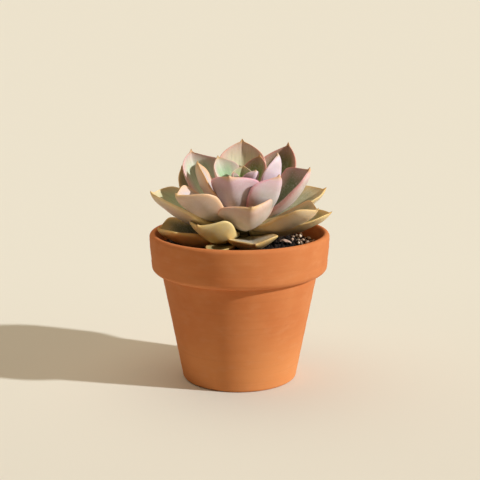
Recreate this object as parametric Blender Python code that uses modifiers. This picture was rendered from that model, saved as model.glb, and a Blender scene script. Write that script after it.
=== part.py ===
"""Potted echeveria: a rosette of separate fleshy leaves on a short woody stem, rooted in soil in
a turned terracotta pot. Metres, +Z up. The origin is the centre of the pot's underside. The pot
and the soil turn about Z, and the stem stands 1 mm off that line, as a planted stem does."""

import bmesh
import bpy
import numpy as np

MM = 0.001  # every size below is in millimetres, and this turns it to metres
GAP = 0.3  # clearance between pieces that touch

# Pot: a thrown flower pot with a deep collar.
POT_HEIGHT = 91.5
RIM_RADIUS = 55.0  # outside, the pot's widest
LIP_WALL = 3.8  # thickness at the rounded lip
LIP_ROUND = 2.4  # outer rounding of the lip
COLLAR_HEIGHT = 24.2
COLLAR_FOOT_RADIUS = 53.8  # the collar narrows a little downwards
COLLAR_FOOT_ROUND = 4.0
BODY_TOP_RADIUS = 47.7  # outside, just under the collar
BASE_RADIUS = 35.5
BASE_ROUND = 1.5
FLOOR = 5.0  # thickness of the pot's floor
BODY_WALL = 4.5
DRAIN_RADIUS = 6.0
COLLAR_UNDERCUT = (0.6, 0.8)  # the corner under the collar: its width out of the body, and height
SHOULDER_LOW, SHOULDER_HIGH = 62.0, 73.0  # heights between which the inside widens into the collar
SHOULDER_INSET = 1.9  # how far the inside of the collar's foot stands in from the lip's inside
LIP_INSET, LIP_DEPTH = 0.4, 4.5  # the same, this far under the top of the lip
TURN_STEPS, SMALL_TURN_STEPS = 64, 16

# Soil and stem.
SOIL_TOP = 83.5
SOIL_DIP = 0.6  # the surface falls this far towards the wall
HOLLOW = 4.0  # the soil arches this far over the drain hole
HOLLOW_FOOT = 1.5  # the arch is this much wider than the hole at its foot
SOIL_EDGE = 0.9  # the soil's edge stands this far out from the inside of the collar's foot
STEM_X = 1.0
CROWN_FOOT_RADIUS, CROWN_TIP_RADIUS = 7.5, 2.0  # where leaves start, at the soil and at the top
CROWN_HEIGHT = 34.0
STEM_UNDERCUT = 1.0  # the bare stem is this much slimmer than the circle that leaves start from
ROOT_DEPTH = 22.0
ROOT_TIP_RADIUS = 2.5
ROOT_SHOULDER = (0.7, 0.3)  # the root is 0.7 of its top radius at 0.3 of its depth
STEM_TIP = (2.0, 3.0)  # the stem's middle and edge end this far under the crown's height

# Leaf: half width grows from the root to the widest point, then closes in to a short sharp point.
ROOT_SHARE = 0.25  # half width at the root, as a share of the widest
WIDEST_AT = 0.62  # share of the length
BLADE_END = 0.965  # share of the length where the blade ends and the point begins
POINT_SHARE = 0.09  # half width of that point, as a share of the widest
THICK_BASE, THICK_PER_WIDTH = 1.0, 0.05  # thickness = base + share of the width
UPPER_SHARE = 0.22  # the upper face is nearly flat, and the back is keeled
TIP_CROWDING = 1.35  # steps along a leaf shorten towards its tip by this power
AROUND, ALONG = 12, 12  # sides of a leaf's section, and steps from root to tip

# Youngest first, the way a stem carries them: each leaf stands about 137.5 degrees on from the
# last. azimuth and sweep (how far it swings sideways), rise (slope of the straight line from root
# to tip), bend (how far it curls up on the way), fold (how far the margins turn up) and roll are
# in degrees; height of its root above the soil, length and width are in millimetres.
LEAVES = (
    # azimuth, height, rise, bend, length, width, fold, roll, sweep
    (235, 33.0, 82, 30, 8.0, 6, 55, 0, 0),
    (12, 33.0, 80, 30, 10.0, 6, 55, 0, 0),
    (150, 32.0, 78, 30, 13.0, 8, 51, 0, 0),
    (300, 31.5, 50, 30, 21.0, 10, 48, 0, 0),
    (80, 31.0, 77, 30, 17.5, 13, 45, 0, 0),
    (194, 23.6, 48, 80, 41.0, 15, 50, 0, 0),
    (343, 26.0, 58, 85, 41.0, 22, 52, 0, 0),
    (140, 27.5, 58, 48, 31.0, 22, 41, 0, 0),
    (255, 21.3, 51, 46, 33.5, 31.5, 58, 0, 0),
    (51, 25.0, 62, 45, 33.0, 20, 38, 0, 0),
    (160, 18.3, 45, 40, 22.0, 8, 37, 0, 0),
    (321, 18.5, 48, 62, 39.0, 32, 52, 0, 0),
    (88, 19.8, 67, 40, 47.0, 32, 38, 0, 0),
    (216, 19.3, 21, 38, 48.0, 31, 52, -12, 0),
    (9, 17.0, 37, 56, 50.5, 32, 48, 9, 0),
    (136, 16.7, 43, 76, 59.0, 31, 42, -4, 0),
    (282, 12.2, 30, 42, 31.5, 38, 50, 9, -4),
    (50, 15.0, 45, 75, 65.0, 29, 42, 0, 0),
    (185, 12.6, 21, 32, 54.5, 33, 40, -18, 0),
    (333, 11.0, 17, 38, 49.5, 29.5, 40, 6, 0),
    (108, 8.0, 43, 76, 59.0, 24, 30, 0, 0),
    (230, 7.8, 16, 45, 37.0, 30, 44, 4, 0),
    (16, 13.4, 20, 36, 54.5, 29, 38, -8, 0),
    (142, 6.5, 42, 76, 61.0, 22, 30, 0, 0),
    (291, 5.0, 4, 20, 29.5, 31, 28, 8, -20),
    (70, 5.5, 26, 42, 44.0, 24, 30, 0, 0),
    (192, 6.0, 6, 30, 46.5, 31, 38, -8, 0),
    (350, 7.5, 13.5, 36, 52.5, 29, 38, 0, 0),
    (122, 4.5, 12, 26, 42.0, 19, 30, 0, 0),
    (242, 2.6, -1, 4, 31.0, 17, 24, 0, 0),
    (38, 4.0, 17, 34, 46.0, 24, 30, 0, 0),
    (90, 3.0, 4, 12, 38.0, 20, 30, 0, 0),
    (157, 2.5, 4, 10, 38.0, 20, 30, 0, 0),
)

# Grit on the open soil: distance from the pot's axis, azimuth in degrees, size.
GRIT = (
    (42.0, 352, 3.4), (44.0, 2, 2.6), (39.5, 8, 3.0), (44.5, 14, 3.2),
    (36.0, 358, 2.4), (41.0, 22, 2.8), (33.5, 12, 2.2), (45.0, 30, 2.4),
)
HUSK = (27.5, 3, 9.0, 3.2)  # distance, azimuth, length and width of the dry leaf scale
HUSK_ARCH = 2.2  # how high its middle stands
HUSK_THICK = 0.5
HUSK_TURN = -20  # degrees from the X axis
HUSK_TAPER = 0.7  # share of its width that is gone at its ends
GRAIN_FLAT, GRAIN_ROUGH = 0.8, 0.18  # height of a grain per width, and how far corners move


def add_collection(name):
    collection = bpy.data.collections.new(name)
    bpy.context.scene.collection.children.link(collection)
    return collection


def finish(name, color, roughness):
    """A plain Principled material of one colour."""
    material = bpy.data.materials.new(name)
    material.use_nodes = True
    shader = material.node_tree.nodes["Principled BSDF"]
    shader.inputs["Base Color"].default_value = (*color, 1.0)
    shader.inputs["Roughness"].default_value = roughness
    shader.inputs["Metallic"].default_value = 0.0
    return material


def add_object(name, mesh, material, collection):
    mesh.materials.append(material)
    mesh.shade_smooth()
    obj = bpy.data.objects.new(name, mesh)
    collection.objects.link(obj)
    return obj


def arc(center_r, center_z, radius, start, end, steps):
    """Points on an arc in the (r, z) plane, with angles in degrees from the +r direction."""
    angles = np.radians(np.linspace(start, end, steps + 1))
    return [(center_r + radius * np.cos(a), center_z + radius * np.sin(a)) for a in angles]


def turned(name, profile, closed, material, collection):
    """A solid of revolution about the object's own Z: the profile runs down its outer side."""
    mesh = bpy.data.meshes.new(name)
    count = len(profile)
    edges = [(i, i + 1) for i in range(count - 1)] + ([(count - 1, 0)] if closed else [])
    mesh.from_pydata([(r * MM, 0.0, z * MM) for r, z in profile], edges, [])
    obj = add_object(name, mesh, material, collection)
    screw = obj.modifiers.new("turn", "SCREW")
    screw.steps = screw.render_steps = TURN_STEPS
    screw.use_merge_vertices = True
    screw.merge_threshold = 0.00001
    screw.use_smooth_shade = True
    return obj


def inside_wall():
    """(r, z) of the pot's inner wall from the floor up to where the lip's rounding starts."""
    slope = (BODY_TOP_RADIUS - BASE_RADIUS) / (POT_HEIGHT - COLLAR_HEIGHT)
    lip_inside = RIM_RADIUS - LIP_WALL
    return [
        (BASE_RADIUS + slope * FLOOR - BODY_WALL, FLOOR),
        (BASE_RADIUS + slope * SHOULDER_LOW - BODY_WALL, SHOULDER_LOW),
        (lip_inside - SHOULDER_INSET, SHOULDER_HIGH),
        (lip_inside - LIP_INSET, POT_HEIGHT - LIP_DEPTH),
        (lip_inside, POT_HEIGHT - LIP_WALL + LIP_ROUND),
    ]


def make_pot(collection):
    """The terracotta pot: lip, collar, tapering body, foot and drain hole in one turned profile."""
    collar_foot = POT_HEIGHT - COLLAR_HEIGHT
    inner_round = LIP_WALL - LIP_ROUND
    profile = arc(RIM_RADIUS - LIP_ROUND, POT_HEIGHT - LIP_ROUND, LIP_ROUND, 90, 0, 4)
    profile += [(RIM_RADIUS, POT_HEIGHT - LIP_DEPTH)]
    profile += arc(
        COLLAR_FOOT_RADIUS - COLLAR_FOOT_ROUND, collar_foot + COLLAR_FOOT_ROUND,
        COLLAR_FOOT_ROUND, 0, -85, 4,
    )
    out, down = COLLAR_UNDERCUT
    profile += [(BODY_TOP_RADIUS + out, collar_foot), (BODY_TOP_RADIUS, collar_foot - down)]
    profile += arc(BASE_RADIUS - BASE_ROUND, BASE_ROUND, BASE_ROUND, 0, -90, 3)
    profile += [(DRAIN_RADIUS, 0.0), (DRAIN_RADIUS, FLOOR)]
    profile += inside_wall()[:-1]
    profile += arc(
        RIM_RADIUS - LIP_ROUND, POT_HEIGHT - inner_round, inner_round, 180, 90, 3
    )[:-1]
    clay = finish("terracotta", (0.58, 0.23, 0.09), 0.85)
    turned("pot", profile, True, clay, collection)


def root_profile(extra):
    """(r, z) down the buried root from the soil's surface to its tip, thickened by extra."""
    top = CROWN_FOOT_RADIUS - STEM_UNDERCUT
    width, depth = ROOT_SHOULDER
    return [
        (top + extra, SOIL_TOP),
        (width * top + extra, SOIL_TOP - depth * ROOT_DEPTH),
        (ROOT_TIP_RADIUS + extra, SOIL_TOP - ROOT_DEPTH),
    ]


def make_soil(collection, cutters):
    """The plug of soil that fills the pot, with the socket that the root grows in."""
    socket = root_profile(GAP)
    wall = [(r - GAP, z) for r, z in inside_wall()[:3]]
    edge = (wall[-1][0] + SOIL_EDGE, SOIL_TOP - SOIL_DIP)
    profile = [(0.0, SOIL_TOP), (0.6 * edge[0], SOIL_TOP - 0.2 * SOIL_DIP), edge]
    profile += wall[::-1][:-1] + [(wall[0][0], FLOOR + GAP)]
    profile += [(DRAIN_RADIUS + HOLLOW_FOOT, FLOOR + GAP), (DRAIN_RADIUS, FLOOR + HOLLOW)]
    profile += [(0.0, FLOOR + HOLLOW)]
    earth = finish("potting_soil", (0.035, 0.022, 0.014), 1.0)
    soil = turned("soil", profile, False, earth, collection)
    over = SOIL_TOP + 5.0  # well clear of the surface, so that the cut is clean
    bore = [(0.0, over), (socket[0][0], over)] + socket
    bore += [(0.0, socket[-1][1] - GAP)]
    cutter = turned("root_socket", bore, False, earth, cutters)
    cutter.modifiers["turn"].steps = SMALL_TURN_STEPS
    cutter.modifiers["turn"].render_steps = SMALL_TURN_STEPS
    cutter.location.x = STEM_X * MM
    cutter.hide_render = True
    cutter.display_type = "WIRE"
    cut = soil.modifiers.new("root socket", "BOOLEAN")
    cut.operation = "DIFFERENCE"
    cut.solver = "EXACT"
    cut.object = cutter


def crown_radius(height):
    """Radius of the circle that leaves start from, at a height above the soil."""
    share = np.clip(height / CROWN_HEIGHT, 0.0, 1.0)
    return CROWN_FOOT_RADIUS + (CROWN_TIP_RADIUS - CROWN_FOOT_RADIUS) * share


def make_stem(collection):
    """The short woody stem and its buried root."""
    tip = CROWN_TIP_RADIUS - STEM_UNDERCUT
    middle, edge = STEM_TIP
    top = SOIL_TOP + CROWN_HEIGHT
    profile = [(0.0, top - middle), (tip, top - edge)]
    profile += root_profile(0.0)
    profile += [(0.0, SOIL_TOP - ROOT_DEPTH)]
    bark = finish("stem_bark", (0.16, 0.13, 0.07), 0.8)
    stem = turned("stem", profile, False, bark, collection)
    stem.modifiers["turn"].steps = SMALL_TURN_STEPS
    stem.modifiers["turn"].render_steps = SMALL_TURN_STEPS
    stem.location.x = STEM_X * MM


def half_width(share):
    """Half width of a blade, as a share of its widest, at a share of its length."""
    rise = np.sin(0.5 * np.pi * np.clip(share / WIDEST_AT, 0, 1)) ** 1.3
    past = np.clip((share - WIDEST_AT) / (BLADE_END - WIDEST_AT), 0, 1)
    opening = ROOT_SHARE + (1 - ROOT_SHARE) * rise
    blade = np.where(share < WIDEST_AT, opening, (1 - past**1.7) ** 0.68)
    point = POINT_SHARE * np.clip((1 - share) / (1 - BLADE_END), 0, 1) ** 1.2
    return np.where(share < WIDEST_AT, blade, np.maximum(blade, point))


def centre_line(share, azimuth, height, rise, bend, length, sweep):
    """Point, forward and sideways direction on a leaf's centre line at each share of its length.
    The slope grows evenly by bend from root to tip, and the heading by sweep."""
    fine = np.linspace(0, 1, 81)
    slope = np.radians(rise + bend * (fine - 0.5))
    heading = np.radians(azimuth + sweep * fine)
    forward = np.stack(
        [np.cos(slope) * np.cos(heading), np.cos(slope) * np.sin(heading), np.sin(slope)], -1
    )
    steps = (forward[1:] + forward[:-1]) * 0.5 * length / (len(fine) - 1)
    path = np.vstack([np.zeros(3), np.cumsum(steps, axis=0)])
    start = crown_radius(height) + GAP
    path += (
        STEM_X + start * np.cos(heading[0]),
        start * np.sin(heading[0]),
        SOIL_TOP + height,
    )
    side = np.stack([-np.sin(heading), np.cos(heading), 0 * heading], -1)
    return [
        np.stack([np.interp(share, fine, line[:, k]) for k in range(3)], -1)
        for line in (path, forward, side)
    ]


def leaf_points(ball, azimuth, height, rise, bend, length, width, fold, roll, sweep):
    """The points of a unit ball moved onto a leaf. A ring of the ball, pole to pole, becomes the
    leaf's section at one place along it: a crescent whose margins turn up by fold, thin at the
    margins, nearly flat above and keeled below."""
    ring = np.arccos(np.clip(-ball[:, 2], -1, 1)) / np.pi * ALONG
    share = 1 - (1 - np.clip((ring - 1) / (ALONG - 1), 0, 1)) ** TIP_CROWDING
    off_pole = (np.hypot(ball[:, 0], ball[:, 1]) > 1e-6).astype(float)
    around = np.arctan2(ball[:, 1], ball[:, 0])
    across, over = np.cos(around) * off_pole, np.sin(around) * off_pole
    middle, forward, side = centre_line(share, azimuth, height, rise, bend, length, sweep)
    up = np.cross(forward, side)
    turn = np.radians(roll)
    side, up = side * np.cos(turn) + up * np.sin(turn), up * np.cos(turn) - side * np.sin(turn)
    half = half_width(share) * width / 2
    body = (THICK_BASE + THICK_PER_WIDTH * width) * (1 - share**3) ** 0.8 + 0.3 * (1 - share)
    body = body * (0.75 + 0.25 * np.sin(np.pi * np.clip(share / 0.7, 0, 1)))
    thick = np.minimum(body, 1.1 * half)
    margin = np.radians(fold) * (0.35 + 0.65 * np.sin(0.5 * np.pi * np.clip(share / 0.6, 0, 1)))
    bow = margin * across
    lift = thick * (
        UPPER_SHARE * np.clip(over, 0, 1) ** 0.9
        - (1 - UPPER_SHARE) * np.clip(-over, 0, 1) ** 1.25
    )
    sideways = half * np.sin(bow) / margin - lift * np.sin(bow)
    upwards = half * (1 - np.cos(bow)) / margin + lift * np.cos(bow)
    return middle + side * sideways[:, None] + up * upwards[:, None]


def make_leaves(collection):
    """One closed solid for each leaf, from a ball whose rings become the leaf's sections."""
    for number, row in enumerate(LEAVES, start=1):
        bm = bmesh.new()
        bmesh.ops.create_uvsphere(bm, u_segments=AROUND, v_segments=ALONG, radius=1.0)
        ball = np.array([vertex.co for vertex in bm.verts])
        for vertex, point in zip(bm.verts, leaf_points(ball, *row) * MM):
            vertex.co = point
        mesh = bpy.data.meshes.new(f"leaf_{number:02d}")
        bm.to_mesh(mesh)
        bm.free()
        age = number / len(LEAVES)
        color = (0.42 + 0.1 * age, 0.36, 0.38 - 0.2 * age)
        skin = finish(f"leaf_skin_{number:02d}", color, 0.55)
        add_object(mesh.name, mesh, skin, collection)


def make_grit(collection):
    """Angular grains of pumice on the soil where the leaves leave it open."""
    pumice = finish("pumice", (0.55, 0.43, 0.36), 0.95)
    for number, (distance, azimuth, size) in enumerate(GRIT, start=1):
        bm = bmesh.new()
        bmesh.ops.create_icosphere(bm, subdivisions=1, radius=0.5 * size * MM)
        for k, vertex in enumerate(bm.verts):
            vertex.co *= 1.0 + GRAIN_ROUGH * np.sin(2.4 * k + number)
            vertex.co.z *= GRAIN_FLAT
        mesh = bpy.data.meshes.new(f"grit_{number:02d}")
        bm.to_mesh(mesh)
        bm.free()
        lowest = min(vertex.co.z for vertex in mesh.vertices)
        grain = add_object(mesh.name, mesh, pumice, collection)
        heading = np.radians(azimuth)
        grain.location = (
            distance * MM * np.cos(heading),
            distance * MM * np.sin(heading),
            (SOIL_TOP + GAP) * MM - lowest,
        )


def make_husk(collection):
    """A dry, papery leaf scale lying arched on the soil."""
    distance, azimuth, length, width = HUSK
    bm = bmesh.new()
    bmesh.ops.create_grid(bm, x_segments=8, y_segments=2, size=0.5)
    for vertex in bm.verts:
        along = vertex.co.x * 2
        taper = 1 - HUSK_TAPER * along**2
        vertex.co.y *= width * taper * MM
        vertex.co.x *= length * MM
        vertex.co.z = HUSK_ARCH * (1 - along**2) * MM
    mesh = bpy.data.meshes.new("husk")
    bm.to_mesh(mesh)
    bm.free()
    husk = add_object("husk", mesh, finish("dry_husk", (0.62, 0.45, 0.38), 0.8), collection)
    sheet = husk.modifiers.new("thickness", "SOLIDIFY")
    sheet.thickness = HUSK_THICK * MM
    sheet.offset = 1.0
    heading = np.radians(azimuth)
    husk.location = (
        distance * MM * np.cos(heading), distance * MM * np.sin(heading), (SOIL_TOP + GAP) * MM
    )
    husk.rotation_euler.z = np.radians(HUSK_TURN)


for obj in list(bpy.data.objects):
    bpy.data.objects.remove(obj, do_unlink=True)
pieces = add_collection("potted_echeveria")
make_pot(pieces)
make_soil(pieces, add_collection("cutters"))
make_stem(pieces)
make_leaves(pieces)
make_grit(pieces)
make_husk(pieces)
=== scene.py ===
"""Potted echeveria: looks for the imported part. Metres, +Z up, in the frame's own place."""

import math

import bpy
import numpy as np
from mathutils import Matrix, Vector


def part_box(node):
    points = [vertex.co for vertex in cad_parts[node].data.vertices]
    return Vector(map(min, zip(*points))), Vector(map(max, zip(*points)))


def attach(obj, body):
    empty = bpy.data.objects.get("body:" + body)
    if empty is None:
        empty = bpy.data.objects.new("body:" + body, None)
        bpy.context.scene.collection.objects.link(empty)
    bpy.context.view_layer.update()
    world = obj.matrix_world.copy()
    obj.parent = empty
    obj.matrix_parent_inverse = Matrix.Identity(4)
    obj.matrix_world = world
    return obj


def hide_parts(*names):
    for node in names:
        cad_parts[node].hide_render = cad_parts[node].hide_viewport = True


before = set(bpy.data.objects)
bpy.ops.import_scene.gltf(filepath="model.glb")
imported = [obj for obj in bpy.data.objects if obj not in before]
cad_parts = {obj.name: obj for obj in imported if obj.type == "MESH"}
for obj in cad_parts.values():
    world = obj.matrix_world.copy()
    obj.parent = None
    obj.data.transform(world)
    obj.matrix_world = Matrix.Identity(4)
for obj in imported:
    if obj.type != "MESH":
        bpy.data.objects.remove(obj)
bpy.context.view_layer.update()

# ------------------------------------------------------------------------------ terracotta pot
# An unglazed flower pot, thrown on a wheel and fired once to a warm orange. A deep collar runs
# under its rounded lip, the potter's fingers and the trimming tool leave faint level rings, and a
# single hole through the floor lets water out.

MM = 0.001


def linear(code):
    """An sRGB hex colour as linear red, green, blue and an alpha of 1."""
    parts = np.array([int(code[k : k + 2], 16) for k in (1, 3, 5)]) / 255
    parts = np.where(parts <= 0.04045, parts / 12.92, ((parts + 0.055) / 1.055) ** 2.4)
    return (*parts.tolist(), 1.0)


def node(tree, kind, inputs=None, **settings):
    """Adds a shader node: settings are its properties, inputs its sockets' values or links."""
    made = tree.nodes.new(kind)
    for name, value in settings.items():
        setattr(made, name, value)
    for socket, value in (inputs or {}).items():
        if isinstance(value, bpy.types.NodeSocket):
            tree.links.new(value, made.inputs[socket])
        else:
            made.inputs[socket].default_value = value
    return made


def finish_of(name):
    """A new material, its node tree and its Principled shader."""
    material = bpy.data.materials.new(name)
    material.use_nodes = True
    return material, material.node_tree, material.node_tree.nodes["Principled BSDF"]


def blend(tree, share, low, high):
    """Colour between low, where share is 0, and high, where it is 1."""
    return node(tree, "ShaderNodeMix", {0: share, 6: low, 7: high}, data_type="RGBA").outputs[2]


def ramp(tree, value, start, end, low=0.0, high=1.0):
    """Value carried smoothly from low, at start, to high, at end, and held flat outside them."""
    inputs = {0: value, 1: start, 2: end, 3: low, 4: high}
    return node(tree, "ShaderNodeMapRange", inputs, interpolation_type="SMOOTHSTEP").outputs[0]


def noise(tree, place, size_mm, detail=3.0, rough=0.5, stretch=(1, 1, 1)):
    """Cloudy noise from 0 to 1 whose clouds are about size_mm across, drawn out by stretch."""
    scale = tuple(1 / (size_mm * MM * s) for s in stretch)
    moved = node(tree, "ShaderNodeMapping", {0: place, 3: scale}).outputs[0]
    inputs = {"Vector": moved, "Scale": 1.0, "Detail": detail, "Roughness": rough}
    return node(tree, "ShaderNodeTexNoise", inputs).outputs[0]


def skin(name, points, material, closed=False, traits=None, uv=None):
    """A closed mesh over a grid of points, in millimetres, that wraps round along its second
    axis. Along its first axis it also wraps if closed, and otherwise its first and last rows are
    each drawn in to one point at their middle. traits are named values on the same grid, and uv
    is a grid of pairs. Faces are turned outwards by the sign of the volume they hold."""
    rows, around = points.shape[:2]
    here = np.arange(around)
    after = (here + 1) % around
    row = np.arange(rows if closed else rows - 1)[:, None] * around
    above = (row + around) % (rows * around)
    quads = np.stack([row + here, above + here, above + after, row + after], -1).reshape(-1, 4)
    flat = points.reshape(-1, 3)
    corners = quads.ravel()
    sizes = np.full(len(quads), 4)
    if not closed:
        root, tip = rows * around, rows * around + 1
        last = row[-1] + around
        fans = [np.stack([np.full(around, root), here, after], -1)]
        fans += [np.stack([np.full(around, tip), after + last, here + last], -1)]
        flat = np.vstack([flat, points[0].mean(0), points[-1].mean(0)])
        corners = np.concatenate([corners, np.vstack(fans).ravel()])
        sizes = np.concatenate([sizes, np.full(2 * around, 3)])
    a, b, c, d = (flat[quads[:, k]] for k in range(4))
    volume = np.einsum("ij,ij->i", a, np.cross(b, c) + np.cross(c, d)).sum()
    starts = np.concatenate([[0], np.cumsum(sizes)[:-1]])
    if volume < 0:
        place = np.arange(len(corners)) - np.repeat(starts, sizes)
        corners = corners[np.repeat(starts + sizes - 1, sizes) - place]
    mesh = bpy.data.meshes.new(name)
    mesh.vertices.add(len(flat))
    mesh.vertices.foreach_set("co", (flat * MM).ravel())
    mesh.loops.add(len(corners))
    mesh.loops.foreach_set("vertex_index", corners.astype(np.int32))
    mesh.polygons.add(len(sizes))
    mesh.polygons.foreach_set("loop_start", starts.astype(np.int32))
    mesh.polygons.foreach_set("use_smooth", np.ones(len(sizes), bool))
    ends = [0, -1]
    for label, values in (traits or {}).items():
        values = np.broadcast_to(values, (rows, around))
        flat_values = values.ravel()
        if not closed:
            flat_values = np.concatenate([flat_values, values[ends].mean(1)])
        mesh.attributes.new(label, "FLOAT", "POINT").data.foreach_set("value", flat_values)
    if uv is not None:
        pairs = np.vstack([uv.reshape(-1, 2), uv[ends].mean(1)])
        mesh.uv_layers.new(name="UVMap").uv.foreach_set("vector", pairs[corners].ravel())
    mesh.update(calc_edges=True)
    mesh.validate()
    mesh.materials.append(material)
    piece = bpy.data.objects.new(name, mesh)
    bpy.context.scene.collection.objects.link(piece)
    return piece


def turned(profile, steps):
    """Grid of points made by turning a profile of (r, z) pairs round the pot's axis."""
    angle = np.linspace(0, 2 * np.pi, steps, endpoint=False)
    r, z = np.asarray(profile, float).T[:, :, None]
    return np.stack([r * np.cos(angle), r * np.sin(angle), z + 0 * angle], -1)


def arc(r, z, radius, start, end, steps=8):
    """Points on a circle about (r, z), from one angle to another in degrees."""
    angle = np.radians(np.linspace(start, end, steps + 1))
    return np.stack([r + radius * np.cos(angle), z + radius * np.sin(angle)], -1)


def sampled(corners, step):
    """A profile with points added so that none are further than step apart."""
    corners = np.vstack(corners)
    counts = np.ceil(np.hypot(*np.diff(corners, axis=0).T) / step).astype(int).clip(1)
    runs = [np.linspace(p, q, n, endpoint=False) for p, q, n in zip(corners, corners[1:], counts)]
    return np.vstack(runs + [corners[-1:]])


POT_HIGH = np.array(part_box("pot")[1]) / MM
RIM_RADIUS, POT_HEIGHT = POT_HIGH[0], POT_HIGH[2]
LIP_WALL, LIP_ROUND = 3.8, 2.4
COLLAR_HEIGHT = 24.2
COLLAR_FOOT = POT_HEIGHT - COLLAR_HEIGHT
COLLAR_FOOT_RADIUS, COLLAR_FOOT_ROUND = 53.8, 4.2
BODY_TOP_RADIUS, BASE_RADIUS, BASE_ROUND = 47.7, 35.5, 1.8
FLOOR, DRAIN_RADIUS = 5.0, 6.0
LIP_INSIDE = RIM_RADIUS - LIP_WALL
INNER_WALL = [(42.2, 62.0), (LIP_INSIDE - 1.9, 73.0), (LIP_INSIDE - 0.4, POT_HEIGHT - 4.5)]
UNDERCUT = 1.3  # rounding of the corner under the collar
OUTLINE_STEP, POT_STEPS = 0.9, 240


def pot_surface():
    """The pot's outline, from the lip down its outer side and back up its inner wall, turned
    round the axis. Level throwing rings a few hundredths of a millimetre high are added to the
    radius: they are sums of sines of the height, stronger on the collar, and only on the upright
    outer side. The round is a hair out of true: its radius swings twice and three times a turn."""
    foot_round, inner_round = COLLAR_FOOT_ROUND, LIP_WALL - LIP_ROUND
    outline = [
        arc(RIM_RADIUS - LIP_ROUND, POT_HEIGHT - LIP_ROUND, LIP_ROUND, 90, 0, 10),
        [(RIM_RADIUS, POT_HEIGHT - 5.0)],
        arc(COLLAR_FOOT_RADIUS - foot_round, COLLAR_FOOT + foot_round, foot_round, 0, -82, 12),
        arc(BODY_TOP_RADIUS + UNDERCUT, COLLAR_FOOT - 1.2, UNDERCUT, 90, 180, 5),
        arc(BASE_RADIUS - BASE_ROUND, BASE_ROUND, BASE_ROUND, 0, -90, 6),
        arc(DRAIN_RADIUS + 0.8, 0.8, 0.8, -90, -180, 4),
        arc(DRAIN_RADIUS + 1.0, FLOOR - 1.0, 1.0, 180, 90, 4),
        arc(32.5, FLOOR + 1.5, 1.5, -90, 0, 4),
        INNER_WALL,
        arc(RIM_RADIUS - LIP_ROUND, POT_HEIGHT - inner_round, inner_round, 180, 90, 8)[:-1],
    ]
    profile = sampled(outline, OUTLINE_STEP)
    r, z = profile.T
    outside = (r > BASE_RADIUS - 0.5) & (z > 3) & (z < POT_HEIGHT - 3)
    rings = 0.035 * np.sin(z * 2.9) + 0.03 * np.sin(z * 1.37 + 1) + 0.05 * np.sin(z * 0.61 + 2)
    rings = rings * np.where(z > COLLAR_FOOT, 1.3, 0.7) * outside
    points = turned(np.stack([r + rings, z], -1), POT_STEPS)
    angle = np.arctan2(points[..., 1], points[..., 0])
    wobble = 1 + 0.0012 * np.sin(2 * angle + 0.6) + 0.0007 * np.sin(3 * angle + points[..., 2] / 30)
    points[..., :2] *= (wobble / 1.0015)[..., None]
    return points


def unglazed_terracotta():
    """Fired iron-rich clay, dry and matt: orange in clouds of 26 mm, with a faint lime blush,
    scuffs, sand specks of 0.45 mm and level throwing lines 1.3 mm apart. Its lowest 45 mm are
    painted lighter and yellower, painted light thrown up from the floor. Its grain shows only in
    close light. IOR 1.5, rough 0.85."""
    material, tree, shader = finish_of("unglazed_terracotta")
    place = node(tree, "ShaderNodeTexCoord").outputs["Object"]
    clouds = noise(tree, place, 26, 3.0, 0.55)
    blush = noise(tree, place, 9, 4.0, 0.6, (1, 1, 0.5))
    rings = noise(tree, place, 1.3, 2.0, 0.5, (60, 60, 1))
    sand = noise(tree, place, 0.45, 2.0, 0.7)
    scuffs = noise(tree, place, 3.2, 5.0, 0.65, (3.5, 3.5, 0.5))
    color = blend(tree, ramp(tree, clouds, 0.3, 0.7), linear("#CA753C"), linear("#D07F46"))
    # Painted light: over the lowest 45 mm the clay turns up to halfway to a light yellow-orange,
    # standing in for light thrown up from the floor.
    level = node(tree, "ShaderNodeSeparateXYZ", {0: place}).outputs[2]
    color = blend(tree, ramp(tree, level, 0.045, 0.004, 0, 0.5), color, linear("#E89A58"))
    color = blend(tree, ramp(tree, blush, 0.45, 0.8, 0, 0.18), color, linear("#DDA070"))
    color = blend(tree, ramp(tree, rings, 0.5, 0.75, 0, 0.12), color, linear("#B4683A"))
    color = blend(tree, ramp(tree, sand, 0.68, 0.8, 0, 0.2), color, linear("#A8623A"))
    color = blend(tree, ramp(tree, scuffs, 0.74, 0.84, 0, 0.3), color, linear("#E6B088"))
    height = node(tree, "ShaderNodeMath", {0: rings, 1: 0.5}, operation="MULTIPLY").outputs[0]
    height = node(tree, "ShaderNodeMath", {0: height, 1: sand}, operation="ADD").outputs[0]
    bump = node(tree, "ShaderNodeBump", {"Strength": 0.35, "Distance": 0.00012, "Height": height})
    tree.links.new(color, shader.inputs["Base Color"])
    tree.links.new(bump.outputs[0], shader.inputs["Normal"])
    shader.inputs["Roughness"].default_value = 0.85
    shader.inputs["IOR"].default_value = 1.5
    return material


pot = skin("terracotta_pot", pot_surface(), unglazed_terracotta(), closed=True)
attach(pot, "root")
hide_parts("pot")

# --------------------------------------------------------------------------------- potting soil
# Peaty potting mix, dark brown, its colour painted near black as painted shade, pressed into
# the pot and left 8 mm below the lip.
# Its surface is crumbly, and loose crumbs of peat and bark lie on it.

SOIL_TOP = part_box("soil")[1][2] / MM
SOIL_DIP, SOIL_RADIUS = 0.6, 49.0
SOIL_STEPS = 220
GAP = 0.3  # left between neighbouring pieces


def lumps(points, size, seed, waves=14):
    """Smooth irregular bumps from -1 to 1: the mean of sine waves of random direction and phase,
    whose length is about size millimetres."""
    rng = np.random.default_rng(seed)
    ways = rng.normal(size=(waves, 3))
    ways /= np.linalg.norm(ways, axis=1, keepdims=True)
    ways *= 2 * np.pi / (size * rng.uniform(0.6, 1.7, (waves, 1)))
    phase = rng.uniform(0, 2 * np.pi, waves)
    return np.sin(points @ ways.T + phase).sum(-1) / math.sqrt(waves) / 1.6


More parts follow.
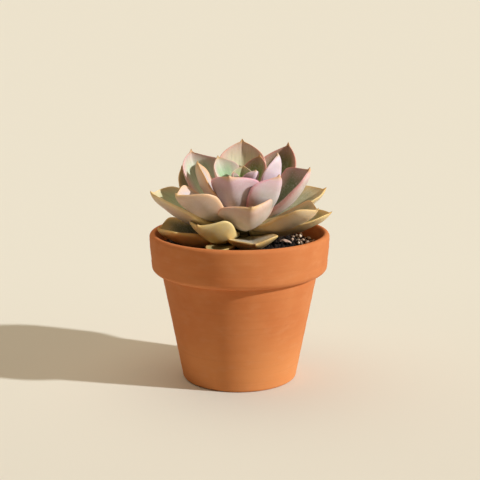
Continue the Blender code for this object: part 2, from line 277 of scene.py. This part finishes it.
def soil_top(x, y):
    """Height of the soil's surface: nearly level, falling SOIL_DIP to the wall, with bumps of
    8, 3 and 1.2 mm that stay small next to the wall."""
    r = np.hypot(x, y)
    flat = np.stack([x, y, 0 * x], -1)
    bumps = 0.55 * lumps(flat, 8, 1) + 0.4 * lumps(flat, 3, 2) + 0.22 * lumps(flat, 1.2, 3)
    calm = np.clip((SOIL_RADIUS + 0.4 - r) / 6, 0.35, 1)
    return SOIL_TOP - 0.4 - SOIL_DIP * (r / SOIL_RADIUS) ** 2 + bumps * calm


def soil_surface():
    """A plug of soil: rings from the middle of its crumbly top out to the wall, down the wall,
    and in under it to the hollow over the drain hole."""
    inner = np.linspace(0.4, 48.6, 110)
    top = turned(np.stack([inner, 0 * inner], -1), SOIL_STEPS)
    top[..., 2] = soil_top(top[..., 0], top[..., 1])
    wall = [(48.9, SOIL_TOP - 1.5), (48.6, 73.0), (41.8, 62.0), (33.4, FLOOR + 1.0)]
    foot = [(32.0, FLOOR + GAP), (7.5, FLOOR + GAP), (6.0, FLOOR + 4.0), (0.4, FLOOR + 4.0)]
    return np.concatenate([top, turned(sampled([wall, foot], 4.0), SOIL_STEPS)])


def dark_peat_and_painted_shade():
    """Wet peat and bark crumbs: dark brown, painted nearly black as painted shade, brown where a
    crumb dries, with a faint damp gloss. Crumb colours change every 2 mm."""
    material, tree, shader = finish_of("dark_peat_and_painted_shade")
    place = node(tree, "ShaderNodeTexCoord").outputs["Object"]
    crumb = noise(tree, place, 2.2, 4.0, 0.65)
    grain = noise(tree, place, 0.5, 3.0, 0.7)
    # Painted shade: the peat's dark brown is painted down to near black, standing in for the shade
    # under the leaves and the rim.
    color = blend(tree, ramp(tree, crumb, 0.42, 0.7), linear("#140B06"), linear("#3A2619"))
    color = blend(tree, ramp(tree, grain, 0.6, 0.75, 0, 0.5), color, linear("#6A4C34"))
    bump = node(tree, "ShaderNodeBump", {"Strength": 0.8, "Distance": 0.0005, "Height": grain})
    tree.links.new(color, shader.inputs["Base Color"])
    tree.links.new(bump.outputs[0], shader.inputs["Normal"])
    shader.inputs["Roughness"].default_value = 0.9
    return material


def globe(polar, turn):
    """Grid of points on a ball of radius 1: polar angles down it, and angles round it."""
    down = polar[:, None]
    sides = np.sin(down) * np.cos(turn), np.sin(down) * np.sin(turn), np.cos(down)
    return np.stack(np.broadcast_arrays(*sides), -1)


def pebbles(places, sizes, seed):
    """Many small rough grains in one mesh: each is a ball of 36 faces, its points pushed in and
    out at random, flattened and turned at random, centred on its place."""
    rings, around = 4, 6
    flatness = (1, 0.8, 0.75)
    rng = np.random.default_rng(seed)
    polar = np.linspace(0, np.pi, rings + 2)[1:-1]
    turn = np.linspace(0, 2 * np.pi, around, endpoint=False)
    ball = np.vstack([globe(polar, turn).reshape(-1, 3), [0, 0, 1], [0, 0, -1]])
    count = len(places)
    points = ball * rng.uniform(0.68, 1.15, (count, len(ball), 1)) * flatness
    spin, _ = np.linalg.qr(rng.normal(size=(count, 3, 3)))
    points = np.einsum("nij,nkj->nki", spin * np.sign(np.linalg.det(spin))[:, None, None], points)
    points = points * np.asarray(sizes)[:, None, None] / 2 + np.asarray(places)[:, None]
    here, after = np.arange(around), (np.arange(around) + 1) % around
    faces = [[a + around * r, a + around * (r + 1), b + around * (r + 1), b + around * r]
             for r in range(rings - 1) for a, b in zip(here, after)]
    caps = [[rings * around, a, b] for a, b in zip(here, after)]
    low = (rings - 1) * around
    caps += [[rings * around + 1, b + low, a + low] for a, b in zip(here, after)]
    offset = (np.arange(count) * len(ball))[:, None, None]
    quads = (offset + np.array(faces)).reshape(-1, 4).tolist()
    return points.reshape(-1, 3), quads + (offset + np.array(caps)).reshape(-1, 3).tolist()


def scatter(name, points, faces, material):
    """One object that holds many small closed shapes with flat faces."""
    mesh = bpy.data.meshes.new(name)
    mesh.from_pydata((points * MM).tolist(), [], faces)
    mesh.polygons.foreach_set("use_smooth", np.zeros(len(faces), bool))
    mesh.materials.append(material)
    piece = bpy.data.objects.new(name, mesh)
    bpy.context.scene.collection.objects.link(piece)
    return piece


def strewn(count, seed, low, high, near):
    """Places on the soil's surface spread evenly over a ring of it, from radius near out to the
    wall, and a size for each between low and high, most of them small."""
    rng = np.random.default_rng(seed)
    r = np.sqrt(rng.uniform(near**2, (SOIL_RADIUS - 0.7) ** 2, count))
    angle = rng.uniform(0, 2 * np.pi, count)
    size = low + (high - low) * rng.uniform(0, 1, count) ** 2.2
    x, y = r * np.cos(angle), r * np.sin(angle)
    return np.stack([x, y, soil_top(x, y) + 0.18 * size], -1), size


peat = dark_peat_and_painted_shade()
soil = skin("soil_plug", soil_surface(), peat)
crumb_places, crumb_sizes = strewn(1500, 11, 0.7, 3.0, near=9.0)
crumbs = scatter("soil_crumbs", *pebbles(crumb_places, crumb_sizes, 12), peat)
for piece in (soil, crumbs):
    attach(piece, "root")
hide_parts("soil")

# ------------------------------------------------------------------------------ stem and its root
# A short woody stem, grey-brown and ringed by the scars of leaves it has shed, that narrows up
# into the crown and down into a buried root. It shows only between the leaves.

STEM_X = 1.0  # the stem stands this far off the pot's axis
ROOT_RADIUS, ROOT_DEPTH = 6.5, 22.0
CROWN_HEIGHT = 34.0
CROWN_FOOT_RADIUS, CROWN_TIP_RADIUS = 7.5, 2.0  # where leaves start, at the soil and at the top
SCAR_PITCH = 2.4


def stem_surface():
    """A profile turned round the stem's own axis: it narrows evenly up to the crown, with leaf
    scars as sine ridges SCAR_PITCH apart, and down to the tip of the root. Slow random bumps move
    its radius by a fiftieth."""
    z = np.linspace(SOIL_TOP + CROWN_HEIGHT - 2.0, SOIL_TOP - ROOT_DEPTH, 90)
    height = z - SOIL_TOP
    above = np.interp(height, [0, CROWN_HEIGHT - 2], [ROOT_RADIUS - 0.1, 1.0])
    below = np.interp(height, [-ROOT_DEPTH, -6.6, 0], [2.3, 4.4, ROOT_RADIUS - 0.1])
    scars = 0.18 * np.sin(height * 2 * np.pi / SCAR_PITCH) - 0.18
    r = np.where(height > 0, above + scars, below)
    points = turned(np.stack([r, z], -1), 48)
    points[..., :2] *= 1 - 0.02 + 0.02 * lumps(points, 5, 5)[..., None]
    points[..., 0] += STEM_X
    return points


def stem_bark():
    """Thin corky bark: grey-brown with olive patches, rough 0.8."""
    material, tree, shader = finish_of("stem_bark")
    place = node(tree, "ShaderNodeTexCoord").outputs["Object"]
    cork = noise(tree, place, 2.5, 4.0, 0.6, (1, 1, 0.4))
    color = blend(tree, ramp(tree, cork, 0.35, 0.7), linear("#6E6640"), linear("#9A8A62"))
    bump = node(tree, "ShaderNodeBump", {"Strength": 0.6, "Distance": 0.0003, "Height": cork})
    tree.links.new(color, shader.inputs["Base Color"])
    tree.links.new(bump.outputs[0], shader.inputs["Normal"])
    shader.inputs["Roughness"].default_value = 0.8
    return material


stem = skin("woody_stem", stem_surface(), stem_bark())
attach(stem, "root")
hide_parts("stem")

# ----------------------------------------------------------------------------------- the leaves
# Thirty-three fleshy leaves, each a thick blade with rounded margins and a short sharp point,
# folded along its middle and keeled beneath. A wax bloom powders them: sage green on the inner
# face, lilac to tan on the outer one, and peach, pink or gold along the margins. They grow in
# one spiral, about 137.5 degrees from each leaf to the next.

AROUND, ALONG = 64, 84  # points round a leaf and along it
ROOT_SHARE = 0.3  # half width at the root, as a share of the widest
BLADE_END, POINT_SHARE = 0.962, 0.085  # the point's start along the leaf, and its half width
CREASE = 0.04  # width of the sharp fold at the middle, as a share of half the leaf

# Youngest first: azimuth, height on the stem, rise, bend, length, width, fold, then roll and sweep
# where a leaf has them. Angles are in degrees and lengths in millimetres.
LEAVES = (
    (235, 33, 82, 30, 8, 6, 55),
    (12, 33, 80, 30, 10, 6, 55),
    (150, 32, 78, 30, 13, 8, 51),
    (302, 31.5, 50, 30, 22, 13, 48),
    (80, 31, 75, 30, 17.5, 15, 45),
    (194, 24.5, 50, 78, 40, 19, 50, -19),
    (343, 26, 58, 85, 41, 22, 52),
    (140, 27.5, 58, 48, 31, 22, 41),
    (253, 21, 51, 46, 33.5, 37, 62),
    (51, 25, 62, 45, 33, 20, 38),
    (160, 18.3, 45, 40, 22, 9, 37),
    (321, 18.5, 48, 62, 39, 32, 52),
    (88, 19.8, 67, 40, 47, 32, 38),
    (216, 19.3, 20, 38, 48, 32, 58, -8),
    (9, 17, 37, 56, 50.5, 32, 48, 9),
    (136, 17.2, 43, 76, 59, 31, 38, -10),
    (282, 12.8, 32, 44, 31.5, 41, 45, 0, -2),
    (50, 15.5, 45, 76, 65, 31, 42),
    (190, 12.6, 22.5, 32, 55.5, 34, 42, -16),
    (333, 11.5, 17, 38, 49.5, 29, 56, 5),
    (108, 8, 43, 76, 59, 24, 30),
    (230, 7.6, 16, 45, 37, 31, 44, 4),
    (16, 13.4, 20, 36, 54.5, 30, 37, 4),
    (142, 6.5, 42, 76, 61, 22, 30),
    (291, 5, 4, 20, 29.5, 31, 28, 4, -20),
    (70, 5.5, 26, 42, 44, 24, 30),
    (192, 6.3, 6, 30, 46.5, 32, 40, -8),
    (350, 7.9, 15, 36, 52.5, 28.5, 48),
    (122, 4.5, 12, 26, 42, 19, 30),
    (242, 2.6, -1, 4, 31, 17, 24),
    (38, 4, 17, 34, 46, 24, 30),
    (90, 3, 4, 12, 38, 20, 30),
    (157, 2.5, 4, 10, 38, 20, 30),
)

# What sets single leaves apart, by number: flesh multiplies the thickness, curl turns the tip up
# by so many degrees, and left and right lift one margin by so many millimetres, as seen looking
# out from the stem. widest is how far along the leaf it is widest, as a share of its length, and
# a higher blunt keeps it wide for longer before it narrows to its point.
TOUCHES = {
    8: {"right": 2.5},
    9: {"curl": 10, "left": -1.0, "right": -3.0, "blunt": 2.0},
    14: {"flesh": 1.3, "curl": 32, "left": 2.5, "widest": 0.68},
    15: {"flesh": 1.2, "left": 1.0, "widest": 0.74, "blunt": 3.4},
    16: {"left": 3.0, "right": 9.0, "blunt": 2.8},
    17: {"flesh": 0.95, "left": 4.5, "right": -5.0, "curl": 12, "blunt": 2.5},
    18: {"left": 4.5},
    19: {"flesh": 1.4, "left": 1.5},
    20: {"flesh": 1.0, "left": 0.5, "curl": 24, "widest": 0.74, "blunt": 2.8},
    22: {"flesh": 1.3, "left": 1.5, "curl": 34, "blunt": 2.8},
    23: {"flesh": 1.2, "left": 4.0},
    25: {"flesh": 1.4, "curl": 14, "blunt": 3.2},
    27: {"flesh": 1.9, "curl": 28, "blunt": 4.0},
    28: {"flesh": 1.0, "right": -3.5},
}

# Skin colours: inner face, outer face, margin. A leaf with none of its own takes its age's.
YOUNG = ("#93A878", "#D8C6D2", "#E6B4B4")
MIDDLE = ("#8DA686", "#D0BCC6", "#E2AE9E")
GROWN = ("#9AA688", "#CDBAB0", "#E6BC8A")
OLD = ("#98966A", "#D4BA80", "#E4BC6A")
SKINS = {
    4: ("#93A878", "#EFDDE8", "#F4D0DA"),
    5: ("#9CC860", "#CDB9C6", "#F0E2C0"),
    # Painted light: leaf 6's outer colour is paler than its own, standing in for light on a face
    # that lies in shade.
    6: ("#C6C0C6", "#F0DAC4", "#F4C084"),
    7: ("#7A8A5C", "#E4D2DE", "#EFD0DA"),
    8: ("#A6C89A", "#D0BCC6", "#EFD0C0"),
    9: ("#B8B0B8", "#C8B6B8", "#EBAAB8"),
    10: ("#728E3C", "#C3AEB6", "#E09A88"),
    12: ("#B0A8B0", "#E2D8DA", "#E6A4B2"),
    13: ("#E2DCB6", "#C3AEB6", "#F0B8A4"),
    # Painted light: leaf 14's outer colour is made paler, standing in for light on a face that lies
    # in shade.
    14: ("#CFC6D0", "#D6C2B8", "#F2C69A"),
    15: ("#5E6E46", "#EBDCDA", "#DA9E9A"),
    16: ("#CCDABE", "#B89E9C", "#F0BEBA"),
    17: ("#C0B090", "#E6D6CC", "#F0BA9E"),
    18: ("#6C783E", "#E6D6CC", "#DC9888"),
    19: ("#BCCCA4", "#CCB0A2", "#F0D49A"),
    20: ("#8C9062", "#E6D2B4", "#E8C080"),
    # Painted light: leaf 24's colours are made paler, standing in for light on a leaf in the
    # crown's shade.
    22: ("#B4AC80", "#EED492", "#F4D890"),
    23: ("#ACAC88", "#D8C6A6", "#E2C280"),
    24: ("#C4C294", "#E8DAB4", "#F2CE90"),
    25: ("#CAC2B2", "#DCC080", "#F0C878"),
    27: ("#6A6E4C", "#E2C482", "#EEC87C"),
    28: ("#9C9468", "#E0CA98", "#E8C680"),
}


def blade_half_width(share, widest, blunt):
    """Half width as a share of the widest: a sine from the root to the widest place, then a
    rounded fall, later and steeper the more blunt the leaf, to a short sharp point."""
    widening = np.sin(0.5 * np.pi * np.clip(share / widest, 0, 1)) ** 1.3
    widening = ROOT_SHARE + (1 - ROOT_SHARE) * widening
    past = np.clip((share - widest) / (BLADE_END - widest), 0, 1)
    blade = np.where(share < widest, widening, (1 - past**blunt) ** 0.72)
    point = POINT_SHARE * np.clip((1 - share) / (1 - BLADE_END), 0, 1) ** 1.1
    return np.where(share < widest, blade, np.maximum(blade, point))


def leaf_middle(share, azimuth, height, rise, bend, length, sweep, curl):
    """The leaf's centre line: it starts on the stem at height above the soil and heads out along
    azimuth. Its slope is rise on average, and grows evenly by bend from root to tip and by curl
    more over the last quarter. Its heading turns by sweep. Returns points, forward directions
    and level sideways directions."""
    fine = np.linspace(0, 1, 161)
    slope = np.radians(rise + bend * (fine - 0.5) + curl * np.clip(fine * 4 - 3, 0, 1) ** 2)
    heading = np.radians(azimuth + sweep * fine)
    level = np.stack([np.cos(heading), np.sin(heading), 0 * heading], -1)
    forward = level * np.cos(slope)[:, None]
    forward[:, 2] = np.sin(slope)
    steps = (forward[1:] + forward[:-1]) * 0.5 * length / 160
    path = np.vstack([np.zeros(3), np.cumsum(steps, axis=0)])
    narrowed = (CROWN_TIP_RADIUS - CROWN_FOOT_RADIUS) * min(height / CROWN_HEIGHT, 1)
    start = CROWN_FOOT_RADIUS + narrowed + GAP
    path += (STEM_X + start * level[0, 0], start * level[0, 1], SOIL_TOP + height)
    side = np.stack([-level[:, 1], level[:, 0], level[:, 2]], -1)
    return [
        np.stack([np.interp(share, fine, line[:, k]) for k in range(3)], -1)
        for line in (path, forward, side)
    ]


def fold_line(margin, across):
    """The line across a leaf, from its middle at across 0 to its margins at -1 and 1. Its slope
    grows to 0.72 of margin: a quarter of that evenly, the rest within a narrow crease at the
    middle, which reads as the keel. Returns its slope and its two coordinates, as shares of half
    the leaf's width, from the running sums of the slope's cosine and sine."""
    fine = np.linspace(0, 1, 81)
    slope = margin * 0.72 * (0.25 * fine + 0.75 * fine / np.hypot(fine, CREASE))
    between = slope[:, :-1] / 2 + slope[:, 1:] / 2
    out = np.concatenate([0 * margin, np.cumsum(np.cos(between), 1) / 80], 1)
    up = np.concatenate([0 * margin, np.cumsum(np.sin(between), 1) / 80], 1)
    spot = np.abs(across) * 80
    left = np.minimum(spot.astype(int), 79)
    share = spot - left
    picked = [line[:, left] * (1 - share) + line[:, left + 1] * share for line in (slope, out, up)]
    return picked[0] * np.sign(across), picked[1] * np.sign(across), picked[2]


def leaf_surface(number, azimuth, height, rise, bend, length, width, fold, roll=0.0, sweep=0.0,
                 flesh=1.15, curl=18.0, left=0.0, right=0.0, widest=0.62, blunt=2.2):
    """Rings round the leaf from root to tip, closer together towards the tip. A ring is a
    crescent: its middle line turns up by fold towards each margin, its thickness falls to round
    margins, and its under side has a keel. It is rolled about the leaf's centre line, its left
    side up. left and right bend one margin up or down over the outer part of the leaf, and slow
    waves and bumps of a few tenths of a millimetre make no two leaves alike. Also returns traits
    for the skin (upper face or under, millimetres in from the margin, share of the length,
    millimetres from the tip) and a UV grid in centimetres."""
    share = 1 - (1 - np.linspace(0, 1, ALONG)) ** 1.35
    middle, forward, side = leaf_middle(share, azimuth, height, rise, bend, length, sweep, curl)
    up = np.cross(forward, side)
    turn = np.radians(roll)
    side, up = side * np.cos(turn) + up * np.sin(turn), up * np.cos(turn) - side * np.sin(turn)
    angle = np.linspace(0, 2 * np.pi, AROUND, endpoint=False)
    across, over = np.cos(angle), np.sin(angle)
    half = (blade_half_width(share, widest, blunt) * width / 2)[:, None]
    swell = (1 - share**4) ** 0.7 * (0.7 + 0.3 * np.sin(np.pi * (share / 0.75).clip(0, 1)))
    body = flesh * (1.5 + 0.1 * width) * swell
    thick = np.minimum(body[:, None], 1.25 * half)
    opened = 0.35 + 0.65 * np.sin(0.5 * np.pi * (share / 0.6).clip(0, 1))
    margin = np.radians(fold) * opened[:, None]
    bow, out, rise = fold_line(margin, across)
    top = 0.18 * over.clip(0, 1) ** 0.5
    keel = (-over).clip(0, 1)
    under = 0.44 * keel**0.5 + 0.38 * keel**2.4
    lift = thick * (top - under)
    reach = np.sin(np.pi * ((share - 0.35) / 0.62).clip(0, 1))[:, None]
    phase = np.random.default_rng(number).uniform(0, 2 * np.pi, 4)
    twist = np.sin(share * 9 + phase[0] + 1.5 * np.sign(phase[1] - 3))[:, None]
    wave = np.sin(share * 6 + phase[2])[:, None]
    ripple = width * (0.012 * twist * across**3 + 0.01 * wave * across**2)
    lifted = left * across.clip(0, 1) ** 2 + right * (-across).clip(0, 1) ** 2
    tilt = (lifted + ripple) * reach
    sideways = half * out - lift * np.sin(bow)
    upwards = half * rise + lift * np.cos(bow) + tilt
    points = middle[:, None] + side[:, None] * sideways[..., None]
    points = points + up[:, None] * upwards[..., None]
    points = points + 0.1 * lumps(points, 9, number + 40)[..., None] * up[:, None]
    grown = min(width / 26, 1)  # the margin and tip colours shrink with a small leaf
    tip = ((1 - share) * length)[:, None] / grown
    edge = np.minimum(half * (1 - np.abs(across)) / grown, 0.55 * tip)
    traits = {"upper": over[None, :], "edge_mm": edge, "share": share[:, None], "tip_mm": tip}
    uv = np.stack(np.broadcast_arrays(half * across / 10, (share * length / 10)[:, None]), -1)
    return points, traits, uv


def mixed(first, second, share):
    """The hex colour that lies share of the way from first to second."""
    pairs = [(int(first[k : k + 2], 16), int(second[k : k + 2], 16)) for k in (1, 3, 5)]
    return "#" + "".join(f"{round(a + (b - a) * share):02X}" for a, b in pairs)


def waxy_skin(name, inner, outer, margin, age):
    """Succulent skin under a powder of wax: satin, rough 0.5, IOR 1.4, and light spreads a
    millimetre or two into the flesh. Each face has its own colour: the outer one is clouded with
    olive every 9 mm and greener near the root, the inner one streaked lengthwise with green every
    1.5 mm. The margin's colour fades in over 8 mm and is full in its last millimetre. The root
    pales, the last 4.5 mm of the tip go to gold, its point to red-brown, and rust spots of
    1.6 mm come with age. Wax lies in specks of 0.7 mm, smeared off in patches of 5 mm."""
    material, tree, shader = finish_of(name)
    coordinates = node(tree, "ShaderNodeTexCoord")
    place = coordinates.outputs["Object"]
    metres = (10 * MM, 10 * MM, 1)  # from the UV map's centimetres
    blade = node(tree, "ShaderNodeMapping", {0: coordinates.outputs["UV"], 3: metres}).outputs[0]
    upper, edge, share, tip = (
        node(tree, "ShaderNodeAttribute", attribute_name=label).outputs["Fac"]
        for label in ("upper", "edge_mm", "share", "tip_mm")
    )
    cloud = noise(tree, place, 9, 3.0, 0.55)
    streak = noise(tree, blade, 1.5, 3.0, 0.6, (1, 9, 1))
    wax = noise(tree, place, 0.7, 4.0, 0.7)
    smear = noise(tree, place, 5, 3.0, 0.6)
    face = ramp(tree, upper, -0.12, 0.2)
    greener = linear(mixed(inner, "#4F6040", 0.55))
    olive = linear(mixed(outer, "#8E9068", 0.35 + 0.2 * age))
    inside = blend(tree, ramp(tree, streak, 0.35, 0.7, 0, 0.35), linear(inner), greener)
    outside = blend(tree, ramp(tree, cloud, 0.35, 0.7, 0, 0.5), linear(outer), olive)
    outside = blend(tree, ramp(tree, share, 0.45, 0.2, 0, 0.25), outside, linear("#83855A"))
    color = blend(tree, face, outside, inside)
    rim_start = node(tree, "ShaderNodeMath", {0: cloud, 1: 1.6}, operation="MULTIPLY").outputs[0]
    rim = node(tree, "ShaderNodeMath", {0: edge, 1: rim_start}, operation="SUBTRACT").outputs[0]
    glow = linear(mixed(margin, outer, 0.3))
    color = blend(tree, ramp(tree, rim, 8.0, -0.2, 0, 0.75), color, glow)
    color = blend(tree, ramp(tree, edge, 1.7, 0.7, 0, 0.85), color, linear(margin))
    color = blend(tree, ramp(tree, share, 0.32, 0.0, 0, 0.7), color, linear("#CFC79A"))
    color = blend(tree, ramp(tree, tip, 4.5, 1.0, 0, 0.7), color, linear("#DCB468"))
    color = blend(tree, ramp(tree, tip, 0.9, 0.3, 0, 0.7), color, linear("#955A34"))
    spots = noise(tree, place, 1.6, 2.0, 0.5)
    rust = ramp(tree, spots, 0.76 - 0.04 * age, 0.82 - 0.04 * age, 0, 0.5)
    color = blend(tree, rust, color, linear("#A8703C"))
    powder = {0: ramp(tree, wax, 0.4, 0.75, 0.0, 0.5), 1: ramp(tree, smear, 0.3, 0.7, 0.25, 1)}
    bloom = node(tree, "ShaderNodeMath", powder, operation="MULTIPLY").outputs[0]
    color = blend(tree, bloom, color, linear("#E2DDD8"))
    bump = node(tree, "ShaderNodeBump", {"Strength": 0.25, "Distance": 0.0001, "Height": wax})
    grooves = {"Strength": 0.25, "Distance": 0.0002, "Height": streak, "Normal": bump.outputs[0]}
    tree.links.new(color, shader.inputs["Base Color"])
    tree.links.new(node(tree, "ShaderNodeBump", grooves).outputs[0], shader.inputs["Normal"])
    shader.inputs["Roughness"].default_value = 0.5
    shader.inputs["IOR"].default_value = 1.4
    shader.inputs["Subsurface Weight"].default_value = 0.12
    shader.inputs["Subsurface Radius"].default_value = (1.0, 0.7, 0.4)
    shader.inputs["Subsurface Scale"].default_value = 0.002
    return material


for number, row in enumerate(LEAVES, start=1):
    age = number / len(LEAVES)
    by_age = YOUNG if number < 6 else MIDDLE if number < 14 else GROWN if number < 24 else OLD
    leaf_skin = waxy_skin(f"waxy_leaf_skin_{number:02d}", *SKINS.get(number, by_age), age)
    points, traits, uv = leaf_surface(number, *row, **TOUCHES.get(number, {}))
    leaf = skin(f"echeveria_leaf_{number:02d}", points, leaf_skin, traits=traits, uv=uv)
    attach(leaf, "root")
    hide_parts(f"leaf_{number:02d}")

# ------------------------------------------------------------------------------ grit and husk
# Pumice grit, mixed into the soil so that it drains, shows as cream and pinkish grains where the
# leaves leave the surface open. A dry leaf scale, thin as paper, lies arched among them.


def pumice_stone():
    """Crushed pumice: chalky and matt, rough 0.95, cream to pink from grain to grain."""
    material, tree, shader = finish_of("crushed_pumice")
    place = node(tree, "ShaderNodeTexCoord").outputs["Object"]
    tint = noise(tree, place, 3.0, 1.0, 0.5)
    pores = noise(tree, place, 0.5, 3.0, 0.7)
    color = blend(tree, ramp(tree, tint, 0.35, 0.65), linear("#E8D2B8"), linear("#C8A48C"))
    color = blend(tree, ramp(tree, pores, 0.5, 0.7, 0, 0.5), color, linear("#8C6A52"))
    bump = node(tree, "ShaderNodeBump", {"Strength": 0.7, "Distance": 0.0003, "Height": pores})
    tree.links.new(color, shader.inputs["Base Color"])
    tree.links.new(bump.outputs[0], shader.inputs["Normal"])
    shader.inputs["Roughness"].default_value = 0.95
    return material


def grain_surface(low, high, seed):
    """A ball stretched to the box from low to high, cut back by flat facets: each facet limits
    how far a point may lie along its own direction."""
    ball = globe(np.linspace(0.05, np.pi - 0.05, 22), np.linspace(0, 2 * np.pi, 36, endpoint=False))
    rng = np.random.default_rng(seed)
    facets = rng.normal(size=(14, 3))
    facets /= np.linalg.norm(facets, axis=1, keepdims=True)
    reach = (rng.uniform(0.62, 0.95, 14) / (ball @ facets.T).clip(0.05, None)).min(-1)
    ball = ball * np.minimum(reach, 1)[..., None] * (1 + 0.03 * lumps(ball, 0.5, seed)[..., None])
    return (low + high) / 2 + ball * (high - low) / 2


pumice = pumice_stone()
for name in sorted(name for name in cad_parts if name.startswith("grit_")):
    low, high = (np.array(corner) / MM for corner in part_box(name))
    low[2] -= GAP
    grain = skin(f"pumice_{name[-2:]}", grain_surface(low, high, int(name[-2:]) + 60), pumice)
    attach(grain, "root")
    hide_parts(name)


def grit_places(count, seed):
    """Places for small grit, gathered round the open patch of soil on the right, 4 degrees from
    the x axis, and thinner elsewhere: the chance that a place is kept is a bell 26 degrees wide
    over a floor of one in twenty."""
    places, sizes = strewn(count, seed, 0.9, 2.6, near=36.0)
    angle = np.degrees(np.arctan2(places[:, 1], places[:, 0]))
    chance = 0.05 + 0.9 * np.exp(-(((angle - 4) / 26) ** 2))
    kept = np.random.default_rng(seed + 1).uniform(0, 1, count) < chance
    places[:, 2] += 0.15 * sizes
    return places[kept], sizes[kept]


small_places, small_sizes = grit_places(1000, 21)
small_grit = scatter("small_pumice", *pebbles(small_places, small_sizes, 22), pumice)
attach(small_grit, "root")


def husk_surface(low, high):
    """A thin arched scale between the corners of its box: rings along its length whose width
    tapers to both ends, with frayed waves, and a wall 0.3 mm thick."""
    along = np.linspace(-1, 1, 40)[:, None]
    angle = np.linspace(0, 2 * np.pi, 28, endpoint=False)
    across, over = np.cos(angle), np.sin(angle)
    taper = (1 - np.abs(along) ** 2.2) ** 0.6 + 0.02
    length, width = 9.0, 3.4
    fray = 0.25 * np.sin(along * 9 + 1) * across**2
    x = length / 2 * along + 0 * across
    y = width / 2 * taper * across + 0.5 * along**2
    z = 2.0 * (1 - along**2) * (1 - 0.45 * across**2) + fray + 0.15 * over
    turn = math.radians(-20)
    center = (low + high) / 2
    across_x = center[0] + x * np.cos(turn) - y * np.sin(turn)
    across_y = center[1] + x * np.sin(turn) + y * np.cos(turn)
    return np.stack([across_x, across_y, low[2] + 0.2 + z], -1)


def dry_scale():
    """A withered leaf scale: papery, pinkish buff with brown veins along it, rough 0.75."""
    material, tree, shader = finish_of("dry_leaf_scale")
    place = node(tree, "ShaderNodeTexCoord").outputs["Object"]
    veins = noise(tree, place, 0.6, 3.0, 0.6, (5, 1, 1))
    color = blend(tree, ramp(tree, veins, 0.4, 0.7), linear("#F0CFB8"), linear("#B88468"))
    tree.links.new(color, shader.inputs["Base Color"])
    shader.inputs["Roughness"].default_value = 0.75
    return material


husk_low, husk_high = (np.array(corner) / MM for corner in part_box("husk"))
husk = skin("dry_husk", husk_surface(husk_low, husk_high), dry_scale())
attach(husk, "root")
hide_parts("husk")

# ------------------------------------------------------------------------- floor, camera, light
# A broad sheet of matt cream paper under the pot, a camera 12.4 degrees above level, a bright lamp
# low on the right and a little in front, and a broad dim warm panel overhead that fills the shade.


def cream_paper():
    """Matt cream background paper with no shine. It is painted a little paler 30 cm behind the pot
    than in front of it, painted light on the far paper. Its own grain is too fine to show."""
    material, tree, shader = finish_of("cream_paper")
    place = node(tree, "ShaderNodeTexCoord").outputs["Object"]
    depth = node(tree, "ShaderNodeSeparateXYZ", {0: place}).outputs[1]
    # Painted light: the paper pales from front to back, standing in for brighter light on the far
    # paper.
    color = blend(tree, ramp(tree, depth, -0.25, 0.3), linear("#E2DFD5"), linear("#E9E7DD"))
    tree.links.new(color, shader.inputs["Base Color"])
    shader.inputs["Roughness"].default_value = 1.0
    shader.inputs["Specular IOR Level"].default_value = 0.0
    return material


paper = bpy.data.meshes.new("paper_sheet")
paper.from_pydata([(-20, -8, 0), (20, -8, 0), (20, 45, 0), (-20, 45, 0)], [], [(0, 1, 2, 3)])
paper.materials.append(cream_paper())
sheet = bpy.data.objects.new("paper_sheet", paper)
bpy.context.scene.collection.objects.link(sheet)

lens = bpy.data.cameras.new("camera")
lens.lens = 85.0
lens.sensor_width = 36.0
camera = bpy.data.objects.new("camera", lens)
camera.location = (0.0003, -0.678, 0.235)
camera.rotation_euler = (math.radians(90 - 12.4), 0.0, 0.0)
bpy.context.scene.collection.objects.link(camera)
bpy.context.scene.camera = camera

lamp = bpy.data.lights.new("side_lamp", "SUN")
lamp.energy = 3.45
lamp.angle = math.radians(2.0)
lamp.color = (0.98, 1.0, 0.99)
key = bpy.data.objects.new("side_lamp", lamp)
key.rotation_euler = Vector((0.840, -0.273, 0.469)).to_track_quat("Z", "Y").to_euler()
bpy.context.scene.collection.objects.link(key)

panel = bpy.data.lights.new("overhead_panel", "SUN")
panel.energy = 1.5
panel.angle = math.radians(80)
panel.color = (1.0, 0.83, 0.62)
fill = bpy.data.objects.new("overhead_panel", panel)
fill.rotation_euler = Vector((-0.15, 0.2, 0.93)).to_track_quat("Z", "Y").to_euler()
bpy.context.scene.collection.objects.link(fill)

world = bpy.data.worlds.new("plain_light")
world.use_nodes = True
sky = world.node_tree.nodes["Background"]
sky.inputs["Color"].default_value = (1.0, 0.815, 0.57, 1.0)
sky.inputs["Strength"].default_value = 0.07
bpy.context.scene.world = world
bpy.context.scene.view_settings.view_transform = "Standard"
